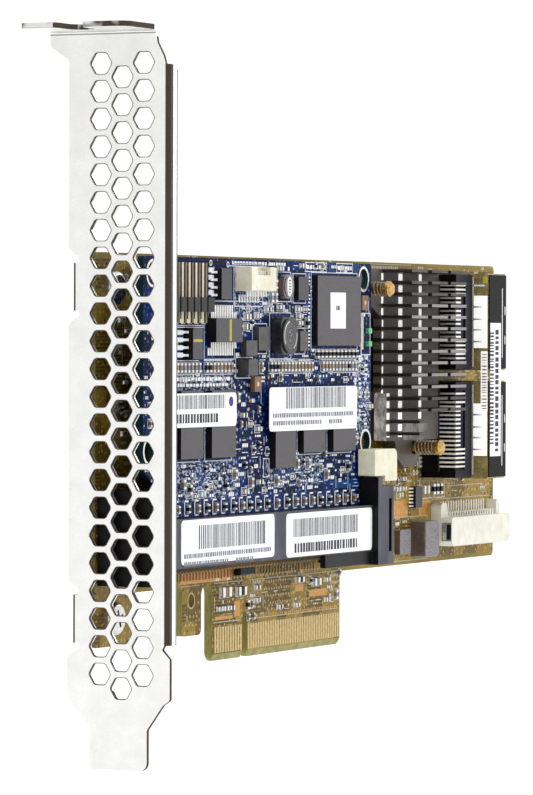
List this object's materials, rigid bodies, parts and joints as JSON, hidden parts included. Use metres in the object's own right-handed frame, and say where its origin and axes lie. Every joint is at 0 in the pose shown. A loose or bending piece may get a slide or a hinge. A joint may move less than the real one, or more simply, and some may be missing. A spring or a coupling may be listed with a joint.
{
  "type": "raid controller card",
  "caption": "Low-profile storage controller expansion card with a slot bracket, plug-in cache module, finned heatsink and right-angle drive-cable receptacles.",
  "frame": {"origin": "centre of the key notch of the edge connector, on the connector's bottom edge, at mid-thickness of the main board", "axes": "+X out of the component face, +Y from the bracket along the board, +Z from the edge connector up"},
  "size_m": [0.0219, 0.1782, 0.12],
  "materials": {
    "bracket_steel": "zinc-plated sheet steel, satin",
    "main_board_mask": "olive-brown solder mask, slightly glossy",
    "gold_plate": "thin gold plating, bright",
    "screw_steel": "plated steel, bright",
    "solder": "reflowed solder, bright",
    "chip_epoxy": "moulded epoxy, matt",
    "memory_epoxy": "moulded epoxy, matt, reads blue-grey",
    "thermal_pad": "soft grey pad, matt",
    "heatsink_anodised": "dark anodised, satin",
    "pin_brass": "turned brass, polished",
    "spring_steel": "spring wire, bright",
    "receptacle_plastic": "black moulded plastic, satin",
    "shield_steel": "plated sheet, mirror-like",
    "contact_tin": "tin-plated contact, bright",
    "module_mask": "blue solder mask, glossy",
    "socket_plastic": "black moulded plastic, satin",
    "latch_cream": "cream moulded plastic, satin",
    "lead_tin": "tinned leads, bright",
    "header_plastic": "black moulded plastic, satin",
    "white_plastic": "white moulded plastic, satin",
    "side_connector_cream": "cream moulded plastic, satin",
    "ferrite_grey": "moulded ferrite, satin",
    "coil_shield": "metal-faced coil, bright",
    "ceramic_brown": "sintered ceramic, satin",
    "tantalum_yellow": "moulded, satin",
    "led_green": "clear green resin, glossy",
    "label_paper": "white paper label, matt"
  },
  "bodies": {
    "card": {"bracket": "bracket_steel", "main_board": "main_board_mask", "edge_contacts": "gold_plate", "board_screws": "screw_steel", "controller_solder_balls": "solder", "controller_chip": "chip_epoxy", "thermal_pad": "thermal_pad", "heatsink": "heatsink_anodised", "heatsink_pins": "pin_brass", "heatsink_springs": "spring_steel", "sas_housings": "receptacle_plastic", "sas_shields": "shield_steel", "sas_contacts": "contact_tin", "cache_board": "module_mask", "cache_board_contacts": "gold_plate", "module_socket": "socket_plastic", "socket_contacts": "contact_tin", "memory_chips": "memory_epoxy", "flash_chip": "memory_epoxy", "logic_chips": "chip_epoxy", "logic_chip_leads": "lead_tin", "driver_chip": "chip_epoxy", "driver_chip_leads": "lead_tin", "pin_header_body": "header_plastic", "header_pins": "gold_plate", "battery_connector": "white_plastic", "battery_connector_pins": "lead_tin", "oval_inductor": "ferrite_grey", "round_inductor": "coil_shield", "power_inductor": "ferrite_grey", "small_inductor": "ferrite_grey", "module_capacitors": "ceramic_brown", "tantalum_capacitors": "tantalum_yellow", "status_leds": "led_green", "side_connector": "side_connector_cream", "side_connector_leads": "lead_tin", "module_labels": "label_paper", "socket_labels": "label_paper", "flash_label": "label_paper", "connector_label": "label_paper"},
    "latch": {"socket_latch": "latch_cream"}
  },
  "joints": [
    {"name": "latch_hinge", "type": "hinge", "parent": "card", "child": "latch", "pos_m": [0.00739, 0.03585, 0.0185], "axis": [-1, 0, 0], "range_deg": [0, 28]}
  ]
}
